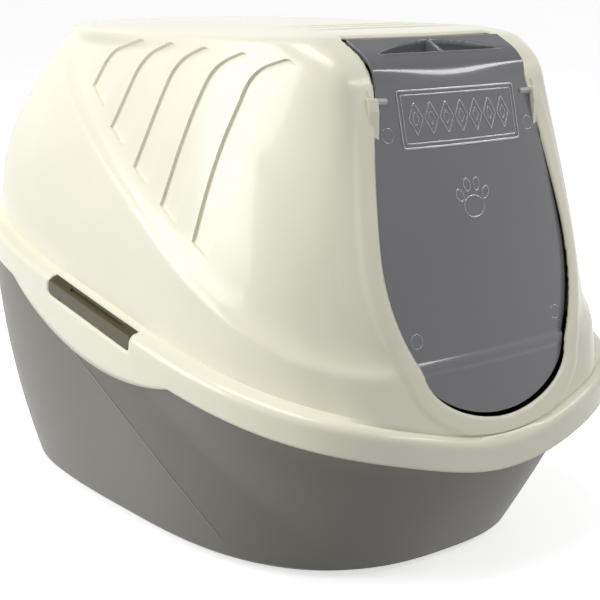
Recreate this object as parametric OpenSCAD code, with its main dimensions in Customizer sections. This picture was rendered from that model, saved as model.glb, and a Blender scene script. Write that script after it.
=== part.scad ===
// Hooded cat litter box: an open tub with a sloping rim, a lift-off hood that
// overlaps it, a see-through flap door hung on two pins, two side latches and
// a carbon filter under the roof vents.  Millimetres, front towards -Y.

/* [Overall size] */
// Length of the hood's rim, front to back
rim_length = 560; // [540:1:580]
// Width of the hood's rim
rim_width = 400; // [390:1:410]
// Height of the roof's crown above the floor
total_height = 410; // [405:1:416]

/* [Rim] */
// Height of the skirt's lower edge at the front corners
rim_front_z = 123; // [118:1:128]
// Rise of the rim per millimetre towards the back
rim_slope = 0.192; // [0.17:0.001:0.2]
// How far the rim dips at the middle of the front
rim_dip = 27; // [15:1:30]
// Height of the hood's skirt
skirt_h = 24; // [20:1:26]
// Depth of the downward bulge in each side of the skirt
scallop_depth = 24; // [10:1:26]
// Half the length of that bulge
scallop_reach = 118; // [100:1:125]

/* [Walls] */
// Thickness of the hood's wall
hood_wall = 3; // [2.4:0.1:3.5]
// Thickness of the tray's wall
tray_wall = 3; // [2.4:0.1:3.5]
// Thickness of the door panel
door_wall = 2.4; // [2:0.1:3]

/* [Door] */
// Height of the hinge pins
pin_z = 362; // [360:1:364]
// Distance of the hinge pins from the middle, front to back
pin_y = -209; // [-211:1:-207]
// Radius of a hinge pin
pin_r = 2.6; // [2:0.1:3]
// Gap between the door and its opening
door_gap = 4; // [3:0.1:5]

/* [Latch] */
// Length of a side latch
latch_length = 121; // [115:1:128]
// Gap around a side latch
latch_gap = 1.2; // [0.8:0.1:1.5]
// Radius of a latch's pivot rod
rod_r = 1.6; // [1.2:0.1:2]

/* [Hidden] */

LEFT = -1;
RIGHT = 1;
cream = "#F5F2DC";
taupe = "#8A8577";
olive = "#6E6750";
smoke = [0.42, 0.42, 0.45, 0.75];
carbon = "#2B2B2B";

half_len = rim_length / 2;
half_wid = rim_width / 2;
rim_n = 3.3;
roof_n = 2.7;
roof_z = total_height - 9;

// ---- plain maths -----------------------------------------------------------
function lerp(a, b, t) = a + (b - a) * t;
function clamp01(t) = min(1, max(0, t));
function smooth(t) = let (u = clamp01(t)) u * u * (3 - 2 * u);

// Point of a rounded plan outline at polar angle p (0 is the front).
// f and r are its reach to the front and back, w is its half width.
function plan(p, f, r, w, n) =
    let (mid = (r - f) / 2, reach = (r + f) / 2,
         s = sin(p), c = cos(p),
         d = pow(pow(abs(s) / w, n) + pow(abs(c) / reach, n), -1 / n))
    [d * s, mid - d * c];

// ---- the sloping rim -------------------------------------------------------
function rim_z(x, y) =
    let (t = y + half_len, late = max(0, t - 440), front = smooth(-y / 120))
    rim_front_z + rim_slope * t - 0.0006 * late * late
    - front * rim_dip * exp(-x * x / 10000);

// Extra depth of the skirt's lower edge along the sides
function scallop(x, y) =
    let (u = y / scallop_reach)
    abs(u) < 1 && abs(x) > half_wid / 2 ? scallop_depth * (1 - u * u) : 0;

// ---- door surface: y and z of its outer face along a path ------------------
door_lean = 0.2447;
bend_z = 370.5;
bend_r = 40;
bend_end = 63;
lean_a = atan(door_lean);
door_top_y = -176;
door_tip_z = 136;
crease_z = 176;

function lean_y(z) = pin_y - 1 + (z - pin_z) * door_lean;

// Centre of the bend and the slope of the short roof part behind it: [y, z]
bend_c = [lean_y(bend_z) + bend_r * cos(lean_a), bend_z - bend_r * sin(lean_a)];
bend_top = [bend_c[0] - bend_r * cos(bend_end), bend_c[1] + bend_r * sin(bend_end)];
function roof_part_z(y) = bend_top[1] + (y - bend_top[0]) / tan(bend_end);

// y of the door's outer face at height z
function door_y(z) =
    z < bend_z ? lean_y(z)
    : z < bend_top[1] ? bend_c[0] - sqrt(bend_r * bend_r - pow(z - bend_c[1], 2))
    : bend_top[0] + (z - bend_top[1]) * tan(bend_end);

// Half width of the door at height z
function door_half(z) =
    z < crease_z ? 72 * pow(1 - pow((crease_z - z) / (crease_z - door_tip_z), 1.85), 1 / 1.85)
    : z < 250 ? 93 - 17.5 * pow((250 - z) / 69, 2.2)
    : 93 - 18 * pow(min(1, (z - 250) / 120), 1.4);

// ---- columns of the shells' grids --------------------------------------------
// Half of each ring, from the front (0) to the back (half_ring).  Columns up to
// DOOR follow the doorway's edge, DOOR + 1 the clip notch, and SLOT_A and SLOT_B
// the ends of the side slots.
DOOR = 6;
SLOT_A = 18;
SLOT_B = 25;
half_ring = 38;
ring = 2 * half_ring;

// Angle of column k, given the angles of the doorway's edge, of the notch and
// of the two ends of the slot
function column(k, door, notch, a, b) =
    k <= DOOR ? door * k / DOOR
    : k == DOOR + 1 ? notch
    : k <= SLOT_A ? lerp(notch, a, (k - DOOR - 1) / (SLOT_A - DOOR - 1))
    : k <= SLOT_B ? lerp(a, b, (k - SLOT_A) / (SLOT_B - SLOT_A))
    : lerp(b, 180, (k - SLOT_B) / (half_ring - SLOT_B));

function whole_ring(half) =
    concat(half, [for (k = [half_ring - 1 : -1 : 1]) -half[k]]);

angles = whole_ring([for (k = [0 : half_ring]) column(k, 14, 18, 66, 104)]);

// ---- hood wall -------------------------------------------------------------
// Section of the wall at w = 0 (ledge) to 1 (roof edge)
function wall_f(w) = half_len - 9 - 78 * w;
function wall_r(w) = half_len - 10 - 60 * pow(w, 2.2);
function wall_w(w) = half_wid - 14 - 54 * pow(w, 1.7);
function fullness(p) = lerp(1, 0.3, smooth((abs(p) - 60) / 60));
function wall_n(p, w) = lerp(rim_n, roof_n, w) + fullness(p) * sin(180 * w);
function wall_plan(p, w) = plan(p, wall_f(w), wall_r(w), wall_w(w), wall_n(p, w));
function wall_z(q, w) = lerp(rim_z(q[0], q[1]) + skirt_h + 2, roof_z, w);

// The flat raised frame around the doorway pulls the wall forward to it, and
// back again with the bend at the door's top.
frame_flat = 96;
frame_blend = 40;
side_bow = 0.0006;
function in_frame(x, share = 1) = 1 - smooth((abs(x) - frame_flat * share) / frame_blend);
function frame_y(x, z) = door_y(min(z, roof_z)) - 3 + side_bow * x * x;
function framed(q, z) =
    let (g = q[1] < 0 ? in_frame(q[0]) : 0,
         front = frame_y(q[0], z),
         bent = smooth((z - 352) / 26))
    [q[0], lerp(q[1], lerp(min(q[1], front), front, bent), g), z];

function wall_point(p, w) = let (q = wall_plan(p, w)) framed(q, wall_z(q, w));

// Half width of the doorway at height z, with a short flat at its bottom
sill_half = 19;
function doorway_half(z) =
    z <= door_tip_z ? sill_half : max(sill_half, door_half(z) + door_gap);

// Angle at which the wall's section at w meets the doorway's edge plus a step
function edge_angle(w, step, low = 0, high = 60, turns = 22) =
    turns == 0 ? (low + high) / 2
    : let (mid = (low + high) / 2, q = wall_plan(mid, w),
           over = q[0] > doorway_half(wall_z(q, w)) + step)
    over ? edge_angle(w, step, low, mid, turns - 1) : edge_angle(w, step, mid, high, turns - 1);

// Angle at which an outline drawn in by `inset` passes the given y
function side_angle(y, inset) = 90 + atan(y / ((half_wid - inset) * 0.998));

slot_y = -11;
slot_half = latch_length / 2 + latch_gap;
slot_a = slot_y - slot_half;
slot_b = slot_y + slot_half;

// Rows of the skirt: inset from the rim outline and height above its lower edge
slot_low = 9;
skirt_rows = [[0, 0], [0, slot_low], [1, 16], [2.5, skirt_h - 3], [5, skirt_h - 0.7], [8, skirt_h]];
// The same rows inside, ending in a flat ledge that sits on the tray's rim
ledge_h = skirt_h - hood_wall;
ledge_rows = [[3, 0], [3, slot_low - 1], [3.8, 16], [5.2, 19.5], [6.5, ledge_h], [12, ledge_h]];
// Rows of the wall; the doorway starts at SILL and the clip notch is one row high
wall_steps = [0, 0.036, 0.05, 0.075, 0.11, 0.15, 0.2, 0.27, 0.36, 0.45, 0.54, 0.63, 0.72,
              0.8177, 0.8711, 0.93, 0.965, 1];
// Rows of the roof: share of its outline, height above its edge, half length of a vent
roof_rows = [[0.985, 2.6, 79], [0.955, 4, 79], [0.875, 5.2, 79], [0.8, 5.9, 60], [0.72, 6.6, 42],
             [0.695, 6.8, 42], [0.61, 7.4, 42], [0.585, 7.6, 42], [0.5, 8, 42], [0.475, 8.1, 42],
             [0.3, 8.7, 30], [0.12, 8.95, 12]];

WALL = len(skirt_rows);
ROOF = WALL + len(wall_steps);
SILL = WALL + 1;
NOTCH = WALL + 13;
DOOR_TOP = ROOF + 2;
VENTS = [ROOF + 4, ROOF + 6, ROOF + 8];

function skirt_point(p, row) =
    let (q = plan(p, half_len - row[0], half_len - row[0], half_wid - row[0], rim_n),
         drop = scallop(q[0], q[1]) * max(0, 1 - row[1] / slot_low))
    [q[0], q[1], rim_z(q[0], q[1]) + row[1] - drop];

function skirt_ring(row) =
    let (a = side_angle(slot_a, row[0]), b = side_angle(slot_b, row[0]))
    [for (p = whole_ring([for (k = [0 : half_ring]) column(k, 8, 12, a, b)]))
        skirt_point(p, row)];

// The foot of the wall sits inside the slot's back edge, so it keeps its ends.
slot_back = half_wid - wall_w(0);
function wall_ring(w) =
    let (a = side_angle(slot_a, slot_back), b = side_angle(slot_b, slot_back),
         door = w == 0 ? 8 : edge_angle(w, 0), notch = w == 0 ? 12 : edge_angle(w, 5.4))
    [for (p = whole_ring([for (k = [0 : half_ring]) column(k, door, notch, a, b)]))
        wall_point(p, w)];

// Towards the door the roof's rows run straight across and rise more gently.
function roof_point(p, row) =
    let (q = plan(p, wall_f(1) * row[0], wall_r(1) * row[0], wall_w(1) * row[0], roof_n),
         g = q[1] < 0 ? in_frame(q[0], row[0]) : 0,
         front = (frame_y(0, roof_z) + side_bow * q[0] * q[0]) * row[0],
         rise = (total_height - roof_z) * (1 - exp(-10.3 * (1 - row[0]))))
    [q[0], lerp(q[1], front, g), roof_z + lerp(row[1], rise, g)];

// Angle at which a roof row passes x
function roof_angle(row, x, low = 0, high = 80, turns = 22) =
    turns == 0 ? (low + high) / 2
    : let (mid = (low + high) / 2)
    roof_point(mid, row)[0] > x ? roof_angle(row, x, low, mid, turns - 1)
                                : roof_angle(row, x, mid, high, turns - 1);

function roof_ring(row) =
    let (door = roof_angle(row, row[2]), notch = door + 4)
    [for (p = whole_ring([for (k = [0 : half_ring]) column(k, door, notch, 66, 104)]))
        roof_point(p, row)];

hood_outer = concat([for (row = skirt_rows) skirt_ring(row)],
                    [for (w = wall_steps) wall_ring(w)],
                    [for (row = roof_rows) roof_ring(row)]);

// Inner face: a ring drawn towards the middle and lowered
function drawn_in(points, t, drop) =
    [for (v = points) let (k = 1 - t / norm([v[0], v[1]])) [v[0] * k, v[1] * k, v[2] - drop]];

hood_inner = concat([for (row = ledge_rows) skirt_ring(row)],
                    [for (i = [WALL : ROOF - 1]) drawn_in(hood_outer[i], hood_wall, 1.2)],
                    [for (i = [ROOF : len(hood_outer) - 1]) drawn_in(hood_outer[i], 3, hood_wall)]);

// True for the cells of the hood's grid that are openings
function hood_opening(i, k) =
    (i >= SILL && i < DOOR_TOP && k < DOOR)
    || (i == NOTCH && k == DOOR)
    || (len(search(i, VENTS)) > 0 && k < DOOR)
    || (i >= 1 && i < WALL && k >= SLOT_A && k < SLOT_B);

// Closed shell between two grids of rings, open at the cells in hood_opening
module shell(outer, inner, top, inner_top) {
    n = ring;
    rows = len(outer);
    inside = rows * n;
    points = concat([for (r = outer) each r], [for (r = inner) each r], [top, inner_top]);
    function at(i, j) = i * n + (j + n) % n;
    function side(j) = let (c = (j + n) % n) c < half_ring ? c : n - 1 - c;
    function open(i, j) = hood_opening(i, side(j));
    function wall(a, b) = [[a, b, b + inside], [a, b + inside, a + inside]];
    faces = concat(
        [for (i = [0 : rows - 2]) for (j = [0 : n - 1]) if (!open(i, j)) each
            let (a = at(i, j), b = at(i, j + 1), c = at(i + 1, j + 1), d = at(i + 1, j))
            [[a, d, c], [a, c, b],
             [a + inside, c + inside, d + inside], [a + inside, b + inside, c + inside]]],
        [for (i = [0 : rows - 2]) for (j = [0 : n - 1]) if (open(i, j)) each concat(
            open(i + 1, j) ? [] : wall(at(i + 1, j), at(i + 1, j + 1)),
            open(i - 1, j) ? [] : wall(at(i, j + 1), at(i, j)),
            open(i, j - 1) ? [] : wall(at(i, j), at(i + 1, j)),
            open(i, j + 1) ? [] : wall(at(i + 1, j + 1), at(i, j + 1)))],
        [for (j = [0 : n - 1]) each wall(at(0, j), at(0, j + 1))],
        [for (j = [0 : n - 1]) [at(rows - 1, j + 1), at(rows - 1, j), 2 * inside]],
        [for (j = [0 : n - 1])
            [at(rows - 1, j) + inside, at(rows - 1, j + 1) + inside, 2 * inside + 1]]);
    polyhedron(points, faces, convexity = 8);
}

// A closed skin through rings of points, with a middle point at both ends
module skin(rings, first, last) {
    n = len(rings[0]);
    m = len(rings);
    points = concat([first], [for (r = rings) each r], [last]);
    tail = 1 + n * m;
    faces = concat(
        [for (j = [0 : n - 1]) [0, 1 + j, 1 + (j + 1) % n]],
        [for (i = [0 : m - 2]) for (j = [0 : n - 1]) each
            let (a = 1 + i * n + j, b = 1 + i * n + (j + 1) % n)
            [[a, a + n, b + n], [a, b + n, b]]],
        [for (j = [0 : n - 1]) let (k = 1 + (m - 1) * n) [k + (j + 1) % n, k + j, tail]]);
    polyhedron(points, faces, convexity = 6);
}

function reversed(list) = [for (i = [len(list) - 1 : -1 : 0]) list[i]];

// ---- tray ------------------------------------------------------------------
base_front = 206;
base_rear = 250;
base_half_w = 152;

// The tray's outline is rounder at the front than at the back
function tray_n(p) = lerp(2.75, 3.6, (1 - cos(p)) / 2);

// Wall section at v = 0 (floor) to 1 (rim), bowed outwards more at the back
function bow(v, p) = 1 - pow(1 - v, lerp(1.25, 2.1, (1 - cos(p)) / 2));
function tray_point(p, v, inset) =
    let (e = bow(v, p),
         f = lerp(base_front, half_len - 7, e) - inset,
         r = lerp(base_rear, half_len - 7, e) - inset,
         w = lerp(base_half_w, half_wid - 7, e) - inset,
         q = plan(p, f, r, w, lerp(tray_n(p), rim_n, smooth((v - 0.7) / 0.3))),
         top = rim_z(q[0], q[1]) + ledge_h - 0.2)
    [q[0], q[1], v * top];

tray_steps = [0.05, 0.12, 0.22, 0.34, 0.48, 0.64, 0.82, 1];
tray_outer = concat(
    [for (row = [[14, 0], [7, 1.5], [2.5, 5]]) [for (p = angles)
        let (q = plan(p, base_front - row[0], base_rear - row[0], base_half_w - row[0], tray_n(p)))
        [q[0], q[1], row[1]]]],
    [for (v = tray_steps) [for (p = angles) tray_point(p, v, 0)]]);
tray_inner = concat(
    [for (row = [[18, tray_wall]]) [for (p = angles)
        let (q = plan(p, base_front - row[0], base_rear - row[0], base_half_w - row[0], tray_n(p)))
        [q[0], q[1], row[1]]]],
    [for (v = tray_steps) [for (p = angles) let (q = tray_point(p, v, tray_wall))
        [q[0], q[1], max(q[2], tray_wall + 4)]]]);

module tray() {
    color(taupe)
    skin(concat(tray_outer, reversed(tray_inner)), [0, 18, 0], [0, 18, tray_wall]);
}

// ---- hood ------------------------------------------------------------------
module hood() {
    color(cream)
    shell(hood_outer, hood_inner, [0, 0, total_height], [0, 0, total_height - hood_wall]);
}

slot_high = 25.5;
slot_h = slot_high - slot_low;
slot_mid_z = rim_z(half_wid, slot_y) + (slot_low + slot_high) / 2;

// Places its children in the tilted frame of the slot on the given side
module at_slot(side) {
    translate([side * (half_wid - 9), slot_y, slot_mid_z])
        rotate([atan(rim_slope), 0, 0]) children();
}

// ---- door ------------------------------------------------------------------
// Path of the outer face from the tip up and over the bend: [y, z, half width]
door_path = concat(
    [for (z = [door_tip_z + 0.6, door_tip_z + 2, door_tip_z + 5, 145, 152, 160, 168])
        [door_y(z), z, door_half(z)]],
    [for (z = [crease_z : 14 : bend_z - 4]) [door_y(z), z, door_half(z)]],
    [for (i = [0 : 7]) let (a = lerp(lean_a, bend_end, i / 7))
        [bend_c[0] - bend_r * cos(a), bend_c[1] + bend_r * sin(a), 75]],
    [[door_top_y, roof_part_z(door_top_y), 75]]);

// The panel bows: its side edges lie further back than its middle
function door_point(k, u, depth) =
    let (q = door_path[k], last = len(door_path) - 1,
         a = door_path[max(0, k - 1)], b = door_path[min(last, k + 1)],
         d = [b[0] - a[0], b[1] - a[1]] / norm([b[0] - a[0], b[1] - a[1]]),
         x = u * q[2], up = smooth((q[1] - 372) / 12))
    [x, q[0] + d[1] * depth + side_bow * x * x * (1 - up), q[1] - d[0] * depth];

module door() {
    across = 14;
    rows = len(door_path);
    face = [for (k = [0 : rows - 1]) for (j = [0 : across]) door_point(k, 2 * j / across - 1, 0)];
    back = [for (k = [0 : rows - 1]) for (j = [0 : across])
                door_point(k, 2 * j / across - 1, door_wall)];
    n = across + 1;
    m = rows * n;
    quads = function(f) [for (k = [0 : rows - 2]) for (j = [0 : across - 1]) each
        let (a = k * n + j, b = a + 1, c = a + n + 1, d = a + n)
        f == 0 ? [[a, d, c], [a, c, b]] : [[m + a, m + b, m + c], [m + a, m + c, m + d]]];
    loop = concat([for (j = [0 : across]) j],
                  [for (k = [1 : rows - 1]) k * n + across],
                  [for (j = [across - 1 : -1 : 0]) (rows - 1) * n + j],
                  [for (k = [rows - 2 : -1 : 1]) k * n]);
    size = len(loop);
    edge = [for (i = [0 : size - 1]) each
        let (a = loop[i], b = loop[(i + 1) % size]) [[a, b, m + b], [a, m + b, m + a]]];
    color(smoke) polyhedron(concat(face, back), concat(quads(0), quads(1), edge), convexity = 4);
}

pin_in = 68;
pin_out = 85;
module door_pin(side) {
    color(smoke)
    translate([side * pin_in, pin_y, pin_z]) rotate([0, side * 90, 0])
        cylinder(h = pin_out - pin_in, r = pin_r, $fn = 48);
}

// ---- hinge clips: moulded bearings in the frame, one for each pin ----------
clip_in = 78.9;
clip_wide = 8.1;
clip_h = 12;
running_gap = 0.06;
module hinge_clip(side) {
    color(cream)
    translate([side * (clip_in + clip_wide / 2), pin_y, pin_z])
        difference() {
            translate([0, 1.5, 0]) cube([clip_wide, 12, clip_h], center = true);
            rotate([0, 90, 0]) cylinder(h = clip_wide + 2, r = pin_r + running_gap, center = true, $fn = 48);
        }
}

// ---- side latches: an L-shaped clip that hooks over the tray's rim ----------
rod_out = 6.3;
rod_down = -4.3;
plate_t = 4.5;
arm_t = 4;
arm_reach = 12.6;
module side_latch(side) {
    low = -slot_h / 2 + latch_gap;
    color(olive)
    at_slot(side) mirror([side < 0 ? 0 : 1, 0, 0])
        difference() {
            union() {
                translate([-9, -latch_length / 2, low]) cube([plate_t, latch_length, slot_h - latch_gap]);
                translate([-9, -latch_length / 2, slot_h / 2 - arm_t])
                    cube([arm_reach, latch_length, arm_t]);
            }
            translate([-rod_out, 0, rod_down]) rotate([90, 0, 0])
                cylinder(h = latch_length + 2, r = rod_r + running_gap, center = true, $fn = 32);
            for (y = [-44, 0, 44])
                translate([-3, y - 16, slot_h / 2 - 1.6]) cube([4, 32, 6]);
        }
}

module latch_rod(side) {
    color("silver")
    at_slot(side)
        translate([side * rod_out, 0, rod_down]) rotate([90, 0, 0])
            cylinder(h = latch_length + 8, r = rod_r, center = true, $fn = 32);
}

// ---- filter under the vents ------------------------------------------------
filter_w = 110;
filter_l = 70;
filter_h = 8;
filter_y = -114;
holder_top = roof_z - 5;

module filter_rail(side) {
    low = holder_top - 12;
    color(cream)
    translate([side * (filter_w / 2 + 2.4) - 4, filter_y - filter_l / 2, low])
        difference() {
            cube([8, filter_l, roof_z + 4.2 - low]);
            translate([-side * 4, -1, 2.6]) cube([8, filter_l + 2, 2.8]);
        }
}

module filter_holder() {
    color(cream)
    translate([0, filter_y, holder_top - filter_h]) {
        difference() {
            union() {
                translate([0, 0, 1]) cube([filter_w - 4, filter_l, filter_h + 2], center = true);
                translate([0, 0, 0]) cube([filter_w + 4, filter_l, 2], center = true);
            }
            translate([0, 0, 3]) cube([filter_w - 8, filter_l - 6, filter_h + 2], center = true);
            for (x = [-42 : 14 : 42]) for (y = [-22, 0, 22])
                translate([x, y, -4]) cube([9, 16, 10], center = true);
        }
    }
}

module carbon_filter() {
    color(carbon)
    translate([0, filter_y, holder_top - filter_h + 1.5])
        cube([filter_w - 9, filter_l - 7, 7], center = true);
}

tray();
hood();
door();
door_pin(LEFT);  // door_pin_left
door_pin(RIGHT);  // door_pin_right
hinge_clip(LEFT);  // hinge_clip_left
hinge_clip(RIGHT);  // hinge_clip_right
side_latch(LEFT);  // side_latch_left
side_latch(RIGHT);  // side_latch_right
latch_rod(LEFT);  // latch_rod_left
latch_rod(RIGHT);  // latch_rod_right
filter_rail(LEFT);  // filter_rail_left
filter_rail(RIGHT);  // filter_rail_right
filter_holder();
carbon_filter();
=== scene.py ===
import math

import bpy
import numpy as np
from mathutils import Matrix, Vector


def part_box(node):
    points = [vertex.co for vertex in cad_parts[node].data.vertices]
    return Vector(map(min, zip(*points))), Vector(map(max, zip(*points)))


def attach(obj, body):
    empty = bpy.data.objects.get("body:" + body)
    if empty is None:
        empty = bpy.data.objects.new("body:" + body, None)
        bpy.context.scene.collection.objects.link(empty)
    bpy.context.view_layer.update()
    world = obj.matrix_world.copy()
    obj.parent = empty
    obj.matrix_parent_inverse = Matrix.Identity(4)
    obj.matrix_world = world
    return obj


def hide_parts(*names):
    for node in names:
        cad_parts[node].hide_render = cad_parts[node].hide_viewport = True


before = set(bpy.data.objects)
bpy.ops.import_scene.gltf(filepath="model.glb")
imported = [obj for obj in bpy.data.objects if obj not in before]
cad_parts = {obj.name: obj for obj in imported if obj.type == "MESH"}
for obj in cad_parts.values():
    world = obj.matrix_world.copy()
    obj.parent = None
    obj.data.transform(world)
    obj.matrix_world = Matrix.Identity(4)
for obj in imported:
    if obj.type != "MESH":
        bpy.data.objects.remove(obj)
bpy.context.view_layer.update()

# A hooded cat litter box.  Shape functions below work in millimetres in the
# frame of the CAD part, with the front towards -Y, and meshes are in metres.
MM = 0.001


def node_box(name):
    low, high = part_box(name)
    return np.array(low) / MM, np.array(high) / MM


# ---- sizes taken from the frame ------------------------------------------------
hood_low, hood_high = node_box("hood")
pin_low, pin_high = node_box("door_pin_left")
half_len = (hood_high[1] - hood_low[1]) / 2
half_wid = (hood_high[0] - hood_low[0]) / 2
crown_z = hood_high[2]
pin_y = (pin_low[1] + pin_high[1]) / 2
pin_z = (pin_low[2] + pin_high[2]) / 2

# ---- the rim, as the CAD part has it -------------------------------------------
RIM_FRONT_Z = 123.0
RIM_SLOPE = 0.192
RIM_LATE = 440.0
RIM_LATE_FALL = 0.0006
RIM_DIP = 27.0
RIM_DIP_WIDE = 100.0
RIM_DIP_REACH = 120.0
RIM_N = 3.3
ROOF_N = 2.7
SKIRT_H = 24.0
LEDGE_H = 21.0
SCALLOP_DEPTH = 24.0
SCALLOP_REACH = 118.0
SCALLOP_TALL = 9.0
WALL = 3.0
ROOF_RISE = 9.0
roof_z = crown_z - ROOF_RISE


def lerp(a, b, t):
    return a + (b - a) * t


def smooth(t):
    u = np.clip(t, 0, 1)
    return u * u * (3 - 2 * u)


def plan(p, front, rear, width, n):
    """Rounded outline at polar angle p in degrees, where 0 is the front."""
    a = np.radians(p)
    mid = (rear - front) / 2
    reach = (rear + front) / 2
    s, c = np.sin(a), np.cos(a)
    d = ((np.abs(s) / width) ** n + (np.abs(c) / reach) ** n) ** (-1 / n)
    return d * s, mid - d * c


def rim_z(x, y):
    """Height of the rim: it rises to the rear, levels off there and dips at the front."""
    t = y + half_len
    late = np.maximum(0, t - RIM_LATE)
    front = smooth(-y / RIM_DIP_REACH)
    dip = RIM_DIP * front * np.exp(-x * x / RIM_DIP_WIDE**2)
    return RIM_FRONT_Z + RIM_SLOPE * t - RIM_LATE_FALL * late * late - dip


def scallop(y):
    """How far the skirt reaches down under each latch."""
    u = y / SCALLOP_REACH
    return SCALLOP_DEPTH * np.clip(1 - u * u, 0, 1)


# ---- the door's profile ----------------------------------------------------------
LEAN = 0.2447
BEND_Z = 370.5
BEND_R = 40.0
BEND_END = math.radians(63)
TIP_Z = 136.0
CREASE_Z = 176.0
DOOR_TOP_Y = -176.0
TIP_HALF = 72.0
TIP_POWER = 1.85
WIDEST_HALF = 93.0
WIDEST_Z = 250.0
TOP_HALF = 75.0
FRONT_BOW = 0.0006
lean_a = math.atan(LEAN)


def lean_y(z):
    """Depth of the door's straight part at height z."""
    return pin_y - 1 + (z - pin_z) * LEAN


bend_cy = lean_y(BEND_Z) + BEND_R * math.cos(lean_a)
bend_cz = BEND_Z - BEND_R * math.sin(lean_a)
bend_top_y = bend_cy - BEND_R * math.cos(BEND_END)
bend_top_z = bend_cz + BEND_R * math.sin(BEND_END)


def door_y(z):
    """Depth of the door's outer face at height z."""
    inside = np.clip(BEND_R**2 - (z - bend_cz) ** 2, 0, None)
    bend = bend_cy - np.sqrt(inside)
    roof = bend_top_y + (z - bend_top_z) * math.tan(BEND_END)
    return np.where(z < BEND_Z, lean_y(z), np.where(z < bend_top_z, bend, roof))


def door_half(z):
    """Half width of the door at height z."""
    low = np.clip((CREASE_Z - z) / (CREASE_Z - TIP_Z), 0, 1)
    tip = TIP_HALF * (1 - low**TIP_POWER) ** (1 / TIP_POWER)
    middle = WIDEST_HALF - 17.5 * (np.clip(WIDEST_Z - z, 0, None) / 69) ** 2.2
    upper = WIDEST_HALF - (WIDEST_HALF - TOP_HALF) * np.clip((z - WIDEST_Z) / 120, 0, 1) ** 1.4
    return np.where(z < CREASE_Z, tip, np.where(z < WIDEST_Z, middle, upper))


# ---- building blocks ----------------------------------------------------------------
def make_mesh(name, points, faces, flat=False):
    """An object from points in millimetres; each used point is kept once."""
    used = np.unique(np.concatenate([np.asarray(f) for f in faces]))
    place = np.full(len(points), -1)
    place[used] = np.arange(len(used))
    mesh = bpy.data.meshes.new(name)
    corners = [place[np.asarray(f)].tolist() for f in faces]
    mesh.from_pydata((points[used] * MM).tolist(), [], corners)
    mesh.validate()
    mesh.polygons.foreach_set("use_smooth", [not flat] * len(mesh.polygons))
    obj = bpy.data.objects.new(name, mesh)
    bpy.context.scene.collection.objects.link(obj)
    return obj


def grid_faces(rows, columns, closed, keep):
    """Quads of a grid of points, row by row, where keep is true."""
    i, j = np.nonzero(keep)
    right = (j + 1) % columns if closed else j + 1
    low, high = i * columns, (i + 1) * columns
    return np.stack([low + j, low + right, high + right, high + j], 1)


def grid_normals(points, closed):
    """Unit normals of a grid of points with shape (rows, columns, 3)."""
    up = np.gradient(points, axis=0)
    if closed:
        along = (np.roll(points, -1, axis=1) - np.roll(points, 1, axis=1)) / 2
    else:
        along = np.gradient(points, axis=1)
    n = np.cross(along, up)
    return n / np.maximum(np.linalg.norm(n, axis=2, keepdims=True), 1e-9)


def outline_distance(px, py, line):
    """Signed distance to a closed outline (negative inside) and its nearest points."""
    ax, ay = line[:, 0], line[:, 1]
    bx, by = np.roll(ax, -1), np.roll(ay, -1)
    dx, dy = bx - ax, by - ay
    length2 = np.maximum(dx * dx + dy * dy, 1e-9)
    shape = px.shape
    px, py = px.ravel(), py.ravel()
    best = np.full(px.shape, np.inf)
    near_x, near_y = px.copy(), py.copy()
    crossings = np.zeros(px.shape, int)
    for k in range(len(line)):
        t = np.clip(((px - ax[k]) * dx[k] + (py - ay[k]) * dy[k]) / length2[k], 0, 1)
        qx, qy = ax[k] + t * dx[k], ay[k] + t * dy[k]
        d = (px - qx) ** 2 + (py - qy) ** 2
        closer = d < best
        best = np.where(closer, d, best)
        near_x = np.where(closer, qx, near_x)
        near_y = np.where(closer, qy, near_y)
        spans = (ay[k] > py) != (by[k] > py)
        if spans.any():
            at = ax[k] + (py - ay[k]) * dx[k] / (dy[k] if dy[k] else 1e-9)
            crossings += spans & (px < at)
    sign = np.where(crossings % 2 == 1, -1.0, 1.0)
    return (sign * np.sqrt(best)).reshape(shape), near_x.reshape(shape), near_y.reshape(shape)


def rounded_outline(corners, radius=1.0, steps=6):
    """A closed outline with rounded corners; a corner's third number is its radius."""
    points = []
    count = len(corners)
    for k in range(count):
        before, corner, after = (Vector(corners[(k + s) % count][:2]) for s in (-1, 0, 1))
        r = corners[k][2] if len(corners[k]) > 2 else radius
        a = (before - corner).normalized()
        b = (after - corner).normalized()
        half = a.angle(b) / 2
        reach = min(r / math.tan(half), (before - corner).length * 0.49, (after - corner).length * 0.49)
        start, end = corner + a * reach, corner + b * reach
        for i in range(steps + 1):
            t = i / steps
            points.append((1 - t) ** 2 * start + 2 * t * (1 - t) * corner + t * t * end)
    return np.array([[p.x, p.y] for p in points])


def cell_mean(values):
    """Mean of a closed grid's values at the corners of each cell."""
    right = np.roll(values, -1, 1)
    return (values[:-1] + values[1:] + right[:-1] + right[1:]) / 4


def corners_of(cells):
    """True for the points of a closed grid at a corner of a chosen cell."""
    rows, columns = cells.shape
    found = np.zeros((rows + 1, columns), bool)
    i, j = np.nonzero(cells)
    for di in (0, 1):
        for dj in (0, 1):
            found[i + di, (j + dj) % columns] = True
    return found


def boundary_of(keep):
    """True for the points of a closed grid that touch both kept and dropped cells."""
    return corners_of(keep) & corners_of(~keep)


def add_modifier(obj, kind, **values):
    modifier = obj.modifiers.new(kind.lower(), kind)
    for key, value in values.items():
        setattr(modifier, key, value)
    return modifier


# ---- hood ---------------------------------------------------------------------------
# The wall's inset at its foot, and how far it leans in by its top
FRONT_INSET, FRONT_LEAN = 9.0, 78.0
REAR_INSET, REAR_LEAN = 10.0, 60.0
SIDE_INSET, SIDE_LEAN = 14.0, 54.0
WALL_STEP = 2.0


def wall_front(w):
    return half_len - FRONT_INSET - FRONT_LEAN * w


def wall_rear(w):
    return half_len - REAR_INSET - REAR_LEAN * w**2.2


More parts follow.
